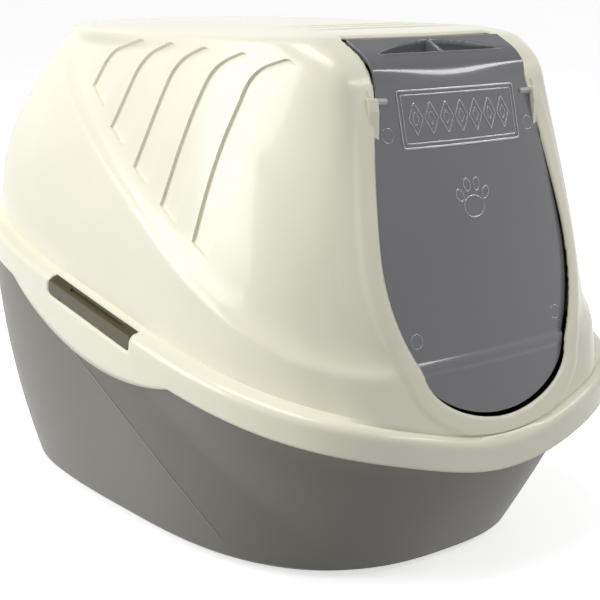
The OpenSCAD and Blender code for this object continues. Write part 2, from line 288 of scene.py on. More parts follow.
def wall_side(w):
    return half_wid - SIDE_INSET - SIDE_LEAN * w**1.7


def wall_n(p, w):
    """Squareness of the wall's outline, which is fuller at the front than at the rear."""
    fullness = lerp(1, 0.3, smooth((np.abs(p) - 60) / 60))
    return lerp(RIM_N, ROOF_N, w) + fullness * math.sin(math.pi * w)


FRAME_FLAT = 96.0
FRAME_BLEND = 46.0
FRAME_SOFT = 16.0
FRAME_REACH = 110.0
FRAME_PROUD = 3.0
BEND_FROM = 352.0
BEND_OVER = 26.0
ROOF_STEEP = 10.3
roof_front = -float(door_y(np.float64(roof_z)) - FRAME_PROUD)


def frame_y(x, z):
    """Depth of the frame around the doorway, which bows back a little at its sides."""
    return door_y(np.minimum(z, roof_z)) - FRAME_PROUD + FRONT_BOW * x * x


def soft_min(a, b, k):
    """The smaller of a and b with a rounded change from one to the other."""
    h = np.clip(k - np.abs(a - b), 0, None) / k
    return np.minimum(a, b) - h * h * k / 4


def in_frame(x, y, share):
    """How much a point belongs to the frame around the doorway, 0 to 1."""
    across = 1 - smooth((np.abs(x) - FRAME_FLAT * share) / (FRAME_BLEND * share))
    return across * smooth(-y / (FRAME_REACH * share))


def framed_y(x, y, z):
    """Pulls the wall forward to the flat frame, and back with the door's bend."""
    g = in_frame(x, y, 1)
    bent = smooth((z - BEND_FROM) / BEND_OVER)
    front = frame_y(x, z)
    return lerp(y, lerp(soft_min(y, front, FRAME_SOFT), front, bent), g)


def skirt_row(inset, height):
    """A ring of the skirt; it reaches lower under the latches."""
    def row(p):
        x, y = plan(p, half_len - inset, half_len - inset, half_wid - inset, RIM_N)
        side = np.abs(x) > half_wid / 2
        drop = np.where(side, scallop(y), 0) * max(0, 1 - height / SCALLOP_TALL)
        return np.stack([x, y, rim_z(x, y) + height - drop], -1)
    return row


def wall_row(w):
    """A ring of the wall, from its foot at 0 to the roof's edge at 1."""
    def row(p):
        x, y = plan(p, wall_front(w), wall_rear(w), wall_side(w), wall_n(p, w))
        z = lerp(rim_z(x, y) + SKIRT_H + WALL_STEP, roof_z, w)
        return np.stack([x, framed_y(x, y, z), z], -1)
    return row


def roof_height(share):
    """Rise of the roof at a share of the way out from its middle."""
    return (crown_z - roof_z) * (1 - share**3) ** 0.4


def roof_front_height(share):
    """Rise of the roof behind the door, which starts at the slope of the door's top."""
    return (crown_z - roof_z) * (1 - np.exp(-ROOF_STEEP * (1 - share)))


def roof_row(share):
    """A ring of the roof, shrinking to its middle as share goes from 1 to 0."""
    def row(p):
        front, rear, side = (wall(1) * share for wall in (wall_front, wall_rear, wall_side))
        x, y = plan(p, front, rear, side, ROOF_N)
        g = in_frame(x, y, share)
        rise = lerp(roof_height(share), roof_front_height(share), g)
        bow = FRONT_BOW * x * x * share
        return np.stack([x, lerp(y, bow - roof_front * share, g), roof_z + rise], -1)
    return row


# Profile of the skirt: inset and height, with a rounded shoulder
SHOULDER_R = 7.0
skirt_heights = (0, 1.5, 3.5, 5.5, 7.5, 9, 11, 13, 15, SKIRT_H - SHOULDER_R)
skirt_profile = [(0, height) for height in skirt_heights]
skirt_profile += [
    (SHOULDER_R * (1 - math.cos(a)), SKIRT_H - SHOULDER_R + SHOULDER_R * math.sin(a))
    for a in np.radians(np.arange(15, 91, 15))
]

COLUMNS = 300


def spread(row, count=COLUMNS):
    """Points of a row spread over half the ring, closer together at the front."""
    p = np.linspace(0, 180, 2401)
    points = row(p)
    length = np.concatenate([[0], np.cumsum(np.linalg.norm(np.diff(points, axis=0), axis=1))])
    t = np.linspace(0, 1, count + 1)
    share = t * 0.72 + 0.28 * t**2.2
    return np.interp(share * length[-1], length, p)


def hood_rows():
    """Rings of the hood from its lower edge to the middle of its roof."""
    rows = [skirt_row(inset, height) for inset, height in skirt_profile]
    wall_ws = np.concatenate([np.linspace(0, 0.3, 54), np.linspace(0.3, 1, 110)[1:]])
    rows += [wall_row(w) for w in wall_ws]
    edge = 1 - np.array([0.002, 0.006, 0.012, 0.02, 0.03])
    shares = np.concatenate([edge, np.linspace(0.96, 0.78, 16),
                             np.linspace(0.77, 0.36, 62), np.linspace(0.33, 0.03, 10)])
    rows += [roof_row(s) for s in shares]
    return rows


def doorway_outline(gap):
    """Closed outline of the doorway, as x and the height along the front."""
    top_y = DOOR_TOP_Y + 5
    top = roof_z + top_y + roof_front
    x = np.linspace(0, TIP_HALF - 2, 22)
    curve = (1 - (x / TIP_HALF) ** TIP_POWER) ** (1 / TIP_POWER)
    low = CREASE_Z - (CREASE_Z - TIP_Z) * curve
    half = [(a + gap * (a / TIP_HALF) ** 2, z - gap) for a, z in zip(x, low)]
    half += [(float(door_half(z)) + gap, z) for z in np.arange(CREASE_Z + 1, 376, 6)]
    side = TOP_HALF + gap
    half += [(side, 380), (side, top - 5), (side - 1.5, top - 1.5), (side - 5, top)]
    left = [(-a, z) for a, z in reversed(half[1:])]
    return np.array(half + left)


def front_height(points):
    """Height along the front: z on the wall, and on from there over the roof."""
    y, z = points[..., 1], points[..., 2]
    flat_y = y - FRONT_BOW * points[..., 0] ** 2
    return np.where(z < roof_z, z, roof_z + np.maximum(flat_y + roof_front, 0))


def move_on_surface(points, normals, where, axes, shift):
    """Moves the chosen points along two axes and keeps them on the surface."""
    third = 3 - axes[0] - axes[1]
    n = normals[where]
    slope = -(n[:, axes[0]] * shift[0] + n[:, axes[1]] * shift[1])
    facing = np.where(np.abs(n[:, third]) < 0.2, 0.2, np.abs(n[:, third])) * np.sign(n[:, third] + 1e-9)
    chosen = points[where]
    chosen[:, axes[0]] += shift[0]
    chosen[:, axes[1]] += shift[1]
    chosen[:, third] += slope / facing
    points[where] = chosen


# Side crease: the wall above it is set in
CREASE_FOOT_Z = 167.0
CREASE_TURN_Y = -230.0
CREASE_TURN_SOFT = 60.0
CREASE_SLOPE = 0.285
CREASE_ACROSS = 0.86
CREASE_STEP = 5.6
CREASE_EDGE = 1.3
CREASE_FALL = 6.0


def crease_z(y):
    """Height of the crease: level at the front, then rising to the rear, a little steeper later."""
    u = y - CREASE_TURN_Y
    climb = CREASE_SLOPE * (u + np.sqrt(u * u + CREASE_TURN_SOFT**2))
    return CREASE_FOOT_Z + climb + 0.0004 * np.clip(y + 20, 0, None) ** 2


def crease_depth(points):
    """Sets the side walls in from a rounded edge, steeply at first, fading away from it."""
    x, y, z = points[..., 0], points[..., 1], points[..., 2]
    s = (z - crease_z(y)) * CREASE_ACROSS
    fade = smooth((150 - y) / 60) * smooth((np.abs(x) - 78) / 26)
    fade = fade * smooth((roof_z + 1 - z) / 9)
    past = CREASE_EDGE * np.logaddexp(0, s / CREASE_EDGE)
    step = CREASE_STEP * (1 - np.exp(-past / CREASE_FALL)) * (1 - 0.9 * smooth((s - 10) / 110))
    return -step * fade


# Five slanted grooves on each side, rounded over at the top; each one further
# forward is lower and more upright.  A wall's two edges are given as distances
# from the outline, the first at the groove's floor.
FAR = 99.0
GROOVES = 5
GROOVE_DEEP = 2.3
GROOVE_PITCH = 44.0
GROOVE_WIDE = 24.0
WALL_EDGE = (-0.55, 0.3)


def groove_outline(k):
    """Outline of side groove k in y and z, with a radius at each corner."""
    foot_y = 63 - GROOVE_PITCH * k
    foot_z = 361.7 - 31 * k + 1.4 * k * k
    lean = 0.48 - 0.08 * k
    knee_z = 384 - 2 * k
    tip_y = foot_y - 66 + 2.5 * k
    tip_z = 399.5 - 0.45 * k * k
    front_y = foot_y - GROOVE_WIDE - 2 + 1.6 * k
    front_z = foot_z - 15 + 1.1 * k
    bend_z = knee_z - 12
    return rounded_outline([
        (foot_y, foot_z, 1.2), (front_y, front_z, 1.2),
        (front_y - (bend_z - front_z) * lean, bend_z, 75),
        (tip_y - 2, tip_z - 7, 7), (tip_y + 7, tip_z, 9),
        (foot_y - (knee_z - foot_z) * lean, knee_z + 6, 75)])


def beside(inside):
    """Points of a closed grid with a neighbour on the other side of an outline."""
    return corners_of((cell_mean(inside.astype(float)) % 1) > 0)


def carve(points, normals, mask, axes, line, edge):
    """Snaps the points beside an outline to both sides of its wall; returns the distance."""
    distance = np.full(points.shape[:2], FAR)
    u, v = points[..., axes[0]][mask], points[..., axes[1]][mask]
    d, near_u, near_v = outline_distance(u, v, line)
    inside = np.zeros(points.shape[:2], bool)
    inside[mask] = d < 0
    snap = beside(inside)[mask]
    target = np.where(d < 0, edge[0], edge[1])
    safe = np.where(np.abs(d) < 0.02, 0.02, d)
    push_u, push_v = (u - near_u) / safe, (v - near_v) / safe
    where = np.zeros(points.shape[:2], bool)
    where[mask] = snap
    shift = ((target - d)[snap] * push_u[snap], (target - d)[snap] * push_v[snap])
    move_on_surface(points, normals, where, axes, shift)
    d = np.where(snap, target, d)
    distance[mask] = d
    return distance


def cut(points, normals, mask, axes, line, keep):
    """Drops the cells inside an outline and moves the rim of the hole onto it."""
    distance = np.full(points.shape[:2], FAR)
    u, v = points[..., axes[0]][mask], points[..., axes[1]][mask]
    distance[mask], near_u, near_v = outline_distance(u, v, line)
    gone = cell_mean(distance) < 0
    rim = boundary_of(~gone) & mask
    shift_u = np.zeros(points.shape[:2])
    shift_v = np.zeros(points.shape[:2])
    shift_u[mask] = near_u - u
    shift_v[mask] = near_v - v
    move_on_surface(points, normals, rim, axes, (shift_u[rim], shift_v[rim]))
    keep &= ~gone


DOORWAY_GAP = 1.7
DOORWAY_EDGE = 2.4
DOORWAY_DROP = 1.4
BORDER_WIDE = 13.0
BORDER_PROUD = 1.2
SLOT_BACK = 7.0
SLOT_LOW = 9.0
VENT_Y = (-137, -115.5, -94.5)
VENT_HALF = (44, 2.4)
DIMPLE_HALF = (88, 6.5)
DIMPLE_DEEP = 2.2
DIMPLE_EDGE = 2.6
latch_low, latch_high = node_box("side_latch_left")


def slot_line(top):
    """Outline of a latch's slot, in y and the way up the skirt from its lower edge."""
    low, high = latch_low[1] + 0.2, latch_high[1] + 0.4
    slant = 8 * RIM_SLOPE
    return rounded_outline([
        (low + slant, SLOT_LOW, 4), (high + slant, SLOT_LOW, 4),
        (high - slant, top, 1.5), (low - slant, top, 1.5)])


def lens(x, y, middle, half):
    """Distance-like value of a lens that tapers to both ends; negative inside."""
    width = half[1] * (1 - (x / half[0]) ** 2)
    return np.abs(y - middle) - width


def cut_doorway(points, rest, normals, keep):
    """Opens the doorway up the front and on over the roof; returns the distance to it."""
    x, y, z = (rest[..., a] for a in range(3))
    near = (np.abs(x) < 125) & (y < -120)
    height = front_height(rest)
    distance = np.full(x.shape, FAR)
    line = doorway_outline(DOORWAY_GAP)
    distance[near], near_x, near_h = outline_distance(x[near], height[near], line)
    doorway = cell_mean(distance) < 0
    rim = boundary_of(~doorway) & near
    shift_x, shift_h = np.zeros(x.shape), np.zeros(x.shape)
    shift_x[near] = near_x - x[near]
    shift_h[near] = near_h - height[near]
    on_wall = rim & (z < roof_z)
    on_roof = rim & ~on_wall
    move_on_surface(points, normals, on_wall, (0, 2), (shift_x[on_wall], shift_h[on_wall]))
    move_on_surface(points, normals, on_roof, (0, 1), (shift_x[on_roof], shift_h[on_roof]))
    distance[rim] = 0
    keep &= ~doorway
    return distance


def cut_slots(points, rest, keep):
    """Opens a slot for each side latch through the skirt and its shoulder."""
    x, y = rest[..., 0], rest[..., 1]
    steps = [math.dist(a, b) for a, b in zip(skirt_profile, skirt_profile[1:])]
    up = np.concatenate([[0], np.cumsum(steps)])
    count = len(skirt_profile)
    along = np.full(x.shape, 60.0)
    along[:count] = up[:, None]
    along[count] = up[-1] + SLOT_BACK
    side = np.abs(x) > half_wid / 2
    line = slot_line(up[-1] + SLOT_BACK / 2)
    distance, near_y, near_up = outline_distance(y, along, line)
    distance[~side] = FAR
    gone = cell_mean(distance) < 0
    rim = boundary_of(~gone) & side
    near_y, near_up = near_y[rim], near_up[rim]
    inset, rise = (np.interp(near_up, up, part) for part in zip(*skirt_profile))
    rim_x = (half_wid - inset) * (1 - (np.abs(near_y) / (half_len - inset)) ** RIM_N) ** (1 / RIM_N)
    low = np.clip(1 - rise / SCALLOP_TALL, 0, 1) * scallop(near_y)
    z = rim_z(rim_x, near_y) + rise - low
    points[rim] = np.stack([rim_x * np.sign(x[rim]), near_y, z], -1)
    keep &= ~gone


def cut_vents(points, rest, normals, keep):
    """Opens the vents in the roof; returns the long shallow dimples around them."""
    x, y, z = (rest[..., a] for a in range(3))
    roof = (z > roof_z + 3) & (y < -60)
    dimples = np.zeros(x.shape)
    a, b = VENT_HALF
    for vent_y in VENT_Y:
        d = lens(x, y, vent_y, DIMPLE_HALF)
        dimples -= DIMPLE_DEEP * smooth(-d / DIMPLE_EDGE) * roof
        line = rounded_outline([(-a, vent_y - b), (a, vent_y - b), (a, vent_y + b), (-a, vent_y + b)], b * 0.9)
        cut(points, normals, roof, (0, 1), line, keep)
    return dimples


def carve_grooves(points, rest, normals):
    """Lines up the grid with the side grooves; returns their depth."""
    x, z = rest[..., 0], rest[..., 2]
    wall = (np.abs(x) > 90) & (z < roof_z + 2) & (z > 230) & (np.abs(normals[..., 0]) > 0.3)
    floor_edge, top_edge = WALL_EDGE
    grooves = np.zeros(x.shape)
    for k in range(GROOVES):
        d = carve(points, normals, wall, (1, 2), groove_outline(k), WALL_EDGE)
        grooves -= GROOVE_DEEP * np.clip((top_edge - d) / (top_edge - floor_edge), 0, 1)
    return grooves


def doorway_edge(distance):
    """Drop of the soft round edge around the doorway."""
    inward = 1 - np.clip(distance, 0, DOORWAY_EDGE) / DOORWAY_EDGE
    return DOORWAY_DROP * (1 - np.sqrt(np.clip(1 - inward**2, 0, 1)))


def doorway_border(points, distance):
    """Height of the raised border around the doorway, which ends below the roof."""
    border = BORDER_PROUD * (1 - smooth((distance - BORDER_WIDE) / 4))
    border *= smooth((roof_z - 20 - points[..., 2]) / 30)
    return border * (1 - smooth((np.abs(points[..., 0]) - 105) / 15))


def build_hood():
    rows = hood_rows()
    half = [spread(row) for row in rows]
    angles = [np.concatenate([p, -p[-2:0:-1]]) for p in half]
    points = np.stack([row(p) for row, p in zip(rows, angles)])
    rest = points.copy()
    columns = points.shape[1]
    normals = grid_normals(points, True)
    keep = np.ones((len(rows) - 1, columns), bool)

    distance = cut_doorway(points, rest, normals, keep)
    cut_slots(points, rest, keep)
    dimples = cut_vents(points, rest, normals, keep)
    grooves = carve_grooves(points, rest, normals)
    crease = crease_depth(points) * smooth((distance - 4) / 30)
    border = doorway_border(points, distance)
    features = crease - doorway_edge(distance) + border + dimples + grooves

    points = points + normals * features[..., None]
    faces = list(grid_faces(len(rows), columns, True, keep))
    centre = len(rows) * columns
    last = (len(rows) - 1) * columns
    cap = [[last + j, last + (j + 1) % columns, centre] for j in range(columns)]
    top = np.array([[0, 0, crown_z]])
    hood = make_mesh("hood_shell", np.concatenate([points.reshape(-1, 3), top]), faces + cap)
    hood.data.set_sharp_from_angle(angle=math.radians(38))
    add_modifier(hood, "SOLIDIFY", thickness=WALL * MM, offset=-1, use_quality_normals=True)
    return hood


# ---- materials -------------------------------------------------------------------
CLOUD_SIZE = 9
CLOUD_SPAN = (0.3, 0.7)
ROUGH_SPAN = 0.15
GRAIN_HEIGHT = 0.0004
COAT_ROUGHNESS = 0.08


def add_noise(tree, place, scale, detail):
    """A noise texture over the piece's own coordinates; returns its value."""
    noise = tree.nodes.new("ShaderNodeTexNoise")
    noise.inputs["Scale"].default_value = scale
    noise.inputs["Detail"].default_value = detail
    tree.links.new(place.outputs["Object"], noise.inputs["Vector"])
    return noise.outputs["Fac"]


def plastic(name, colour, roughness, grain=0.0, grain_size=900, shade=0.03, coat=0.0, **extra):
    """Moulded plastic: slightly uneven colour and gloss over a fine grain."""
    mat = bpy.data.materials.new(name)
    mat.use_nodes = True
    nodes, links = mat.node_tree.nodes, mat.node_tree.links
    shader = nodes["Principled BSDF"]
    place = nodes.new("ShaderNodeTexCoord")
    cloud = add_noise(mat.node_tree, place, CLOUD_SIZE, 3)
    ramp = nodes.new("ShaderNodeValToRGB")
    for element, factor in zip(ramp.color_ramp.elements, (1 - shade, 1 + shade)):
        element.color = [min(1, c * factor) for c in colour] + [1]
    ramp.color_ramp.elements[0].position = CLOUD_SPAN[0]
    ramp.color_ramp.elements[1].position = CLOUD_SPAN[1]
    links.new(cloud, ramp.inputs["Fac"])
    links.new(ramp.outputs["Color"], shader.inputs["Base Color"])
    speck = add_noise(mat.node_tree, place, grain_size, 2)
    span = nodes.new("ShaderNodeMapRange")
    span.inputs["To Min"].default_value = roughness * (1 - ROUGH_SPAN)
    span.inputs["To Max"].default_value = roughness * (1 + ROUGH_SPAN)
    links.new(speck, span.inputs["Value"])
    links.new(span.outputs["Result"], shader.inputs["Roughness"])
    bump = nodes.new("ShaderNodeBump")
    bump.inputs["Strength"].default_value = grain
    bump.inputs["Distance"].default_value = GRAIN_HEIGHT
    links.new(speck, bump.inputs["Height"])
    links.new(bump.outputs["Normal"], shader.inputs["Normal"])
    shader.inputs["Coat Weight"].default_value = coat
    shader.inputs["Coat Roughness"].default_value = COAT_ROUGHNESS
    for key, value in extra.items():
        shader.inputs[key.replace("_", " ")].default_value = value
    return mat


cream = plastic("cream_plastic", (0.87, 0.85, 0.69), 0.3, grain=0.12, coat=0.3)
taupe = plastic("taupe_plastic", (0.150, 0.143, 0.118), 0.42, grain=0.35)
smoke = plastic("smoky_plastic", (0.235, 0.232, 0.255), 0.16, grain=0.04, coat=0.5,
                Transmission_Weight=0.3)
clear = plastic("clear_plastic", (0.75, 0.76, 0.78), 0.15, grain=0.05, Transmission_Weight=0.4)
olive = plastic("olive_plastic", (0.075, 0.062, 0.026), 0.3, grain=0.2, Specular_IOR_Level=0.35)
# Lighter taupe for the tray's fold lines: a painted highlight along each fold
fold_painted_highlight = plastic("taupe_painted_highlight", (0.33, 0.32, 0.28), 0.3, grain=0.1)
steel = plastic("steel_wire", (0.6, 0.6, 0.6), 0.3, grain=0.1, Metallic=1.0)
felt = plastic("carbon_felt", (0.03, 0.03, 0.03), 0.95, grain=1.0, grain_size=1500, shade=0.4)


def finish_piece(obj, material, body, slot, *replaced):
    """Gives a piece its material and body, and hides the CAD nodes that it stands for; slot is not used."""
    obj.data.materials.clear()
    obj.data.materials.append(material)
    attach(obj, body)
    if replaced:
        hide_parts(*replaced)


# ---- tray -----------------------------------------------------------------------
BASE_FRONT = 206.0
BASE_REAR = 250.0
BASE_HALF_W = 152.0
TRAY_INSET = 7.0
FOOT_INSET = 12.0
FOOT_R = 7.0


def tray_n(p):
    """Squareness of the tray's foot, which is rounder at the front."""
    return lerp(2.75, 3.6, (1 - np.cos(np.radians(p))) / 2)


def tray_row(v):
    """A ring of the tray's wall, from the floor at 0 to its rim at 1."""
    def row(p):
        power = lerp(1.25, 2.1, (1 - np.cos(np.radians(p))) / 2)
        e = 1 - (1 - v) ** power
        front = lerp(BASE_FRONT, half_len - TRAY_INSET, e)
        rear = lerp(BASE_REAR, half_len - TRAY_INSET, e)
        width = lerp(BASE_HALF_W, half_wid - TRAY_INSET, e)
        n = lerp(tray_n(p), RIM_N, smooth((v - 0.7) / 0.3))
        x, y = plan(p, front, rear, width, n)
        top = rim_z(x, y) + LEDGE_H - 0.2
        return np.stack([x, y, v * top], -1)
    return row


def base_row(inset, height):
    """A ring of the tray's floor, or of the rounded edge around it."""
    def row(p):
        x, y = plan(p, BASE_FRONT - inset, BASE_REAR - inset, BASE_HALF_W - inset, tray_n(p))
        return np.stack([x, y, np.full_like(x, height)], -1)
    return row


FOLD_R = 0.55


def build_tray():
    rows = [base_row(i, 0) for i in (110, 60, 30, 18)]
    rows += [base_row(FOOT_INSET * (1 - math.sin(a)) + 2, FOOT_R * (1 - math.cos(a)))
             for a in np.radians(np.arange(0, 70, 12))]
    rows += [tray_row(v) for v in np.linspace(0.045, 1, 120)]
    points = []
    for row in rows:
        p = spread(row, 200)
        points.append(row(np.concatenate([p, -p[-2:0:-1]])))
    points = np.stack(points)
    normals = grid_normals(points, True)
    points = points + normals * tray_features(points)[..., None]
    columns = points.shape[1]
    faces = list(grid_faces(len(rows), columns, True, np.ones((len(rows) - 1, columns), bool)))
    centre = len(rows) * columns
    cap = [[(j + 1) % columns, j, centre] for j in range(columns)]
    middle = [[0, (BASE_REAR - BASE_FRONT) / 2, 0]]
    tray = make_mesh("tray_shell", np.concatenate([points.reshape(-1, 3), middle]), faces + cap)
    add_modifier(tray, "SOLIDIFY", thickness=WALL * MM, offset=-1)
    upright = points[(points[:, 0, 2] > 14) & (points[:, 0, 2] < 100)]
    value = upright[..., 1] - fold_y(upright[..., 2])
    # A thin line along each fold; it later gets a lighter colour as a painted highlight
    folds = [tube("tray_fold_" + word, crossing(upright, value, side), FOLD_R)
             for side, word in ((-1, "left"), (1, "right"))]
    return tray, folds


def fold_y(z):
    """Where the fold on the tray's side runs at height z."""
    return -125 + 0.31 * z + 0.00505 * z * z


def crossing(points, value, side):
    """Path on one side of a grid along which a value changes sign."""
    path = []
    for row, v in zip(points, value):
        hits = np.nonzero((v[:-1] * v[1:] < 0) & (side * row[:-1, 0] > 60))[0]
        if len(hits):
            j = hits[0]
            path.append(lerp(row[j], row[j + 1], v[j] / (v[j] - v[j + 1])))
    return np.array(path)


def tube(name, path, radius, sides=8):
    """A thin round line along a path, pointed at both ends."""
    along = np.gradient(path, axis=0)
    along /= np.linalg.norm(along, axis=1, keepdims=True)
    across = np.cross(along, (0, 0, 1))
    across /= np.linalg.norm(across, axis=1, keepdims=True)
    upright = np.cross(across, along)
    ends = smooth(np.minimum(np.arange(len(path)), np.arange(len(path))[::-1]) / 6) * radius + 0.02
    rings = [path + ends[:, None] * (across * math.cos(a) + upright * math.sin(a))
             for a in np.linspace(0, 2 * math.pi, sides, endpoint=False)]
    points = np.stack(rings, 1)
    count = len(path)
    faces = [list(f)[::-1] for f in grid_faces(count, sides, True, np.ones((count - 1, sides), bool))]
    faces.append(list(reversed(range(sides))))
    faces.append([(count - 1) * sides + k for k in range(sides)])
    return make_mesh(name, points.reshape(-1, 3), faces)


def tray_features(points):
    """The wall in front of the fold on each side turns in a little."""
    x, y, z = points[..., 0], points[..., 1], points[..., 2]
    s = (y - fold_y(z)) * 0.78
    side = smooth((np.abs(x) - 90) / 40) * smooth((z - 4) / 12)
    turn = 0.07 * np.clip(s, -60, 0) * smooth((s + 130) / 75)
    return turn * side


# ---- door -----------------------------------------------------------------------
DOOR_WALL = 2.4
DOOR_PROUD = 3.0
DOOR_WIDER = 1.4
roof_part = (-DOOR_TOP_Y + bend_top_y) / -math.sin(BEND_END)
straight = (BEND_Z - TIP_Z) / math.cos(lean_a)
bend_length = BEND_R * (BEND_END - lean_a)


def door_path(s):
    """Point (y, z) and angle from upright of the door's profile, s up from its tip."""
    on_bend = np.clip((s - straight) / BEND_R, 0, BEND_END - lean_a)
    a = lean_a + on_bend
    below = np.minimum(s, straight)
    beyond = np.clip(s - straight - bend_length, 0, None)
    y = lean_y(TIP_Z) + below * math.sin(lean_a) + BEND_R * (math.cos(lean_a) - np.cos(a))
    z = TIP_Z + below * math.cos(lean_a) + BEND_R * (np.sin(a) - math.sin(lean_a))
    return y + beyond * math.sin(BEND_END), z + beyond * math.cos(BEND_END), a


def door_surface(x, s, out=0.0):
    """Point of the door at x and s, raised by out along its normal."""
    y, z, a = door_path(s)
    bow = FRONT_BOW * x * x * (1 - smooth((z - 372) / 12))
    out = out + DOOR_PROUD * np.cos(a) / math.cos(lean_a)
    return np.stack([x, y + bow - out * np.cos(a), z + out * np.sin(a)], -1)


def door_s(z):
    """Way up the door at height z on its straight part."""
    return (z - TIP_Z) / math.cos(lean_a)


RECESS_HALF = 64.0
RECESS_DEEP = 9.0
RECESS_LONG = 17.0
RECESS_RIB = 0.9


def door_features(x, s):
    """Height of the band and the finger recess over the door's plain surface."""
    z = door_path(s)[1]
    band = 1.8 * smooth((181 - z) / 2.2) - 0.5 * smooth((179 - z) / 7)
    band = band + 0.7 * np.exp(-((z - 174) / 1.3) ** 2)
    front = straight + bend_length - 8
    middle = 1 - (x / RECESS_HALF) ** 2
    inside = np.minimum(s - front, front + RECESS_LONG * middle - s) * (middle > 0)
    hollow = RECESS_DEEP * smooth(inside / 3.0) * (np.abs(x) > RECESS_RIB)
    lip = 0.8 * np.exp(-((s - front + 1) / 1.2) ** 2) * smooth(middle * 3)
    return band - hollow + lip


def build_door():
    ends = np.array([0.15, 0.5, 1.1, 2.0, 3.2, 4.8, 6.8, 9.2, 12, 15.5, 19.5, 24])
    top = straight + bend_length + roof_part
    s = np.concatenate([ends, np.arange(27, straight - 6, 1.9), np.arange(straight - 6, top, 0.9), [top]])
    inner = np.linspace(RECESS_RIB + 0.5, RECESS_HALF + 1, 46) / TOP_HALF
    u = np.concatenate([[0, (RECESS_RIB - 0.2) / TOP_HALF], inner, np.linspace(inner[-1], 1, 14)[1:]])
    u = np.concatenate([-u[:0:-1], u])
    z = door_path(s)[1]
    half = door_half(z) + DOOR_WIDER
    half += 0.8 * smooth((CREASE_Z + 4 - z) / 3) * smooth((z - 140) / 30)
    x = u[None, :] * half[:, None]
    rows = np.repeat(s[:, None], len(u), 1)
    points = door_surface(x, rows, door_features(x, rows))
    faces = grid_faces(len(s), len(u), False, np.ones((len(s) - 1, len(u) - 1), bool))
    door = make_mesh("door_panel", points.reshape(-1, 3), list(faces))
    add_modifier(door, "SOLIDIFY", thickness=DOOR_WALL * MM, offset=-1)
    add_modifier(door, "BEVEL", width=0.6 * MM, segments=2, angle_limit=math.radians(60))
    return door


def bead(path, radius, sides=6):
    """Points and faces of a thin raised line on the door along a closed path of (x, s)."""
    path = np.array(path, float)
    along = np.roll(path, -1, 0) - np.roll(path, 1, 0)
    along /= np.maximum(np.linalg.norm(along, axis=1, keepdims=True), 1e-9)
    rings = []
    for k in range(sides):
        a = 2 * math.pi * k / sides
        side, out = radius * math.cos(a), radius * math.sin(a)
        x = path[:, 0] + along[:, 1] * side
        s = path[:, 1] - along[:, 0] * side
        base = door_features(x, s)
        rings.append(door_surface(x, s, base + 0.55 * out))
    points = np.stack(rings, 1)
    count = len(path)
    faces = []
    for i in range(count):
        here, ahead = i * sides, (i + 1) % count * sides
        for k in range(sides):
            other = (k + 1) % sides
            faces.append([here + k, here + other, ahead + other, ahead + k])
    return points.reshape(-1, 3), faces


def circle(x, s, rx, rs, turn=0.0, steps=28):
    """A closed round or oval path on the door."""
    a = np.linspace(0, 2 * math.pi, steps, endpoint=False)
    px, ps = rx * np.cos(a), rs * np.sin(a)
    c, d = math.cos(turn), math.sin(turn)
    return np.stack([x + px * c - ps * d, s + px * d + ps * c], 1)


def dense(corners, radius):
    """A rounded outline with points close enough together to follow the door."""
    line = rounded_outline(corners, radius)
    points = []
    for a, b in zip(line, np.roll(line, -1, 0)):
        count = max(1, int(np.linalg.norm(b - a) / 2.5))
        points += [a + (b - a) * i / count for i in range(count)]
    return points


PLATE_HALF = 59.0
PLATE_Z = (328.0, 368.0)
MOTIF_Z = 288.0


def relief_lines():
    """The door's raised lines: a framed plate of plain lozenges, a paw and rings."""
    low, high = (float(door_s(z)) for z in PLATE_Z)
    lines = []
    for inset, radius in ((0, 0.9), (3.2, 0.6)):
        a, b = PLATE_HALF - inset, inset
        corners = [(-a, low + b), (a, low + b), (a, high - b), (-a, high - b)]
        lines.append((dense(corners, 2.0), radius))
    middle, tall = (low + high) / 2, (high - low) * 0.29
    for k in range(-3, 4):
        for size, radius in ((1.0, 0.7), (0.45, 0.5)):
            across, up = 6.6 * size, tall * size
            x = k * 14.8
            corners = [(x - across, middle), (x, middle - up), (x + across, middle), (x, middle + up)]
            lines.append((dense(corners, 0.8), radius))
    paw = float(door_s(MOTIF_Z))
    lines.append((circle(0, paw - 5, 10, 8), 0.6))
    for x, up, turn in ((-13, 4, 0.5), (-4.8, 11, 0.15), (4.8, 11, -0.15), (13, 4, -0.5)):
        lines.append((circle(x, paw + up, 3.2, 4.8, turn), 0.6))
    for z, x in ((338, 71.5), (196, 72.5)):
        for side in (-1, 1):
            lines.append((circle(side * x, float(door_s(z)), 5.2, 5.2), 0.35))
    return lines


def build_relief():
    """All the raised lines of the door as one piece."""
    points, faces, start = [], [], 0
    for path, radius in relief_lines():
        p, f = bead(path, radius)
        points.append(p)
        faces += [[i + start for i in face] for face in f]
        start += len(p)
    return make_mesh("door_relief", np.concatenate(points), faces)


# ---- hinge clips and pins ----------------------------------------------------------
def sweep_profile(name, profile, stations, place):
    """A solid swept through stations; profile(station) gives its closed outline."""
    rings = [np.array(profile(t)) for t in stations]
    count = len(rings[0])
    points = np.concatenate([place(ring, t) for ring, t in zip(rings, stations)])
    faces = []
    for i in range(len(stations) - 1):
        for k in range(count):
            a, b = i * count + k, i * count + (k + 1) % count
            faces.append([a, b, b + count, a + count])
    faces.append(list(reversed(range(count))))
    faces.append([(len(stations) - 1) * count + k for k in range(count)])
    obj = make_mesh(name, points, faces, flat=True)
    add_modifier(obj, "BEVEL", width=0.5 * MM, segments=2, angle_limit=math.radians(25))
    return obj


CLIP_PROUD = 4.2
CLIP_TALL = 30.0
CLIP_WIDE = 7.5


